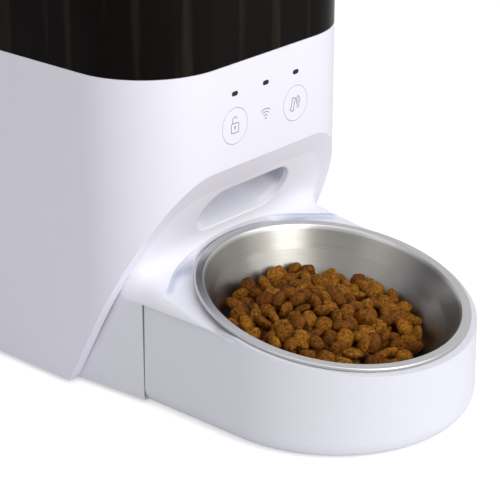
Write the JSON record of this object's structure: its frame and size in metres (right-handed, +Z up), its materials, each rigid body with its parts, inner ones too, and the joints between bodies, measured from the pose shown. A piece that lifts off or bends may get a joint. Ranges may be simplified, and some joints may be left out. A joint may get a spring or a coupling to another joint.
{
  "type": "automatic pet feeder",
  "caption": "Automatic dry-food feeder: smoked food tank over a slanted-front tower, portion wheel, control buttons and a low stand with a tilted, lift-out steel bowl.",
  "frame": {"origin": "middle of the whole feeder's footprint, on the table", "axes": "-Y towards the bowl (front), +Y towards the back, +X to the right seen from the front, +Z up"},
  "size_m": [0.19, 0.325, 0.3061],
  "materials": {
    "shell_white": "satin white ABS with a slight lavender cast",
    "cowl_white": "satin white ABS",
    "base_white": "satin white ABS",
    "stand_white": "satin white ABS",
    "lid_white": "satin white ABS",
    "button_white": "smooth white with a grey printed sign",
    "screw_steel": "zinc plated",
    "foot_rubber": "matt grey rubber",
    "chute_grey": "smooth pale grey",
    "drum_grey": "moulded pale grey",
    "bush_brass": "turned",
    "bracket_steel": "pressed sheet",
    "motor_steel": "plated can",
    "board_green": "solder mask",
    "switch_black": "moulded",
    "lens_dark": "smoked, unlit",
    "inlet_black": "moulded",
    "box_grey": "moulded",
    "contact_metal": "nickel plated spring steel",
    "bowl_steel": "fine brushed stainless, polished rim",
    "tank_smoke": "smoked see-through, very dark",
    "seal_rubber": "soft silicone",
    "cup_white": "moulded",
    "latch_grey": "smooth grey",
    "wheel_nylon": "natural nylon",
    "flap_rubber": "soft silicone",
    "shaft_steel": "ground",
    "gear_nylon": "natural acetal",
    "pinion_brass": "machined"
  },
  "bodies": {
    "housing": {"outer_shell": "shell_white", "front_cowl": "cowl_white", "base_housing": "base_white", "bowl_stand": "stand_white", "base_screws": "screw_steel", "stand_screws": "screw_steel", "motor_screws": "screw_steel", "board_screws": "screw_steel", "door_screw": "screw_steel", "rubber_feet": "foot_rubber", "outlet_chute": "chute_grey", "drum_housing": "drum_grey", "drum_bushes": "bush_brass", "motor_bracket": "bracket_steel", "gear_motor": "motor_steel", "control_board": "board_green", "tact_switches": "switch_black", "led_lenses": "lens_dark", "dc_inlet": "inlet_black", "battery_box": "box_grey", "battery_door": "base_white", "battery_contacts": "contact_metal", "food_sensors": "switch_black"},
    "bowl": {"steel_bowl": "bowl_steel"},
    "tank": {"food_tank": "tank_smoke"},
    "lid": {"tank_lid": "lid_white", "lid_seal": "seal_rubber", "desiccant_cup": "cup_white", "desiccant_cover": "cup_white"},
    "latch": {"lid_latch": "latch_grey"},
    "wheel": {"portion_wheel": "wheel_nylon", "wheel_flaps": "flap_rubber", "wheel_shaft": "shaft_steel", "drive_gear": "gear_nylon"},
    "pinion": {"motor_pinion": "pinion_brass"},
    "lock": {"lock_button": "button_white"},
    "feed": {"feed_button": "button_white"}
  },
  "joints": [
    {"name": "bowl_lift", "type": "slide", "parent": "housing", "child": "bowl", "axis": [0, -0.5736, 0.8192], "range_m": [0, 0.12]},
    {"name": "tank_lift", "type": "slide", "parent": "housing", "child": "tank", "axis": [0, 0, 1], "range_m": [0, 0.15]},
    {"name": "lid_lift", "type": "slide", "parent": "tank", "child": "lid", "axis": [0, 0, 1], "range_m": [0, 0.1]},
    {"name": "latch_slide", "type": "slide", "parent": "lid", "child": "latch", "axis": [0, -1, 0], "range_m": [0, 0.005]},
    {"name": "wheel_spin", "type": "hinge", "parent": "housing", "child": "wheel", "pos_m": [0, 0.0565, 0.152], "axis": [1, 0, 0], "continuous": true},
    {"name": "pinion_spin", "type": "hinge", "parent": "housing", "child": "pinion", "pos_m": [0.046, 0.0835, 0.152], "axis": [1, 0, 0], "continuous": true},
    {"name": "lock_press", "type": "slide", "parent": "housing", "child": "lock", "axis": [0, 1, 0], "range_m": [0, 0.0008], "stiffness_N_per_m": 600},
    {"name": "feed_press", "type": "slide", "parent": "housing", "child": "feed", "axis": [0, 1, 0], "range_m": [0, 0.0008], "stiffness_N_per_m": 600}
  ],
  "couplings": [
    {"joint": "pinion_spin", "follows": "wheel_spin", "ratio": -2.8571}
  ]
}
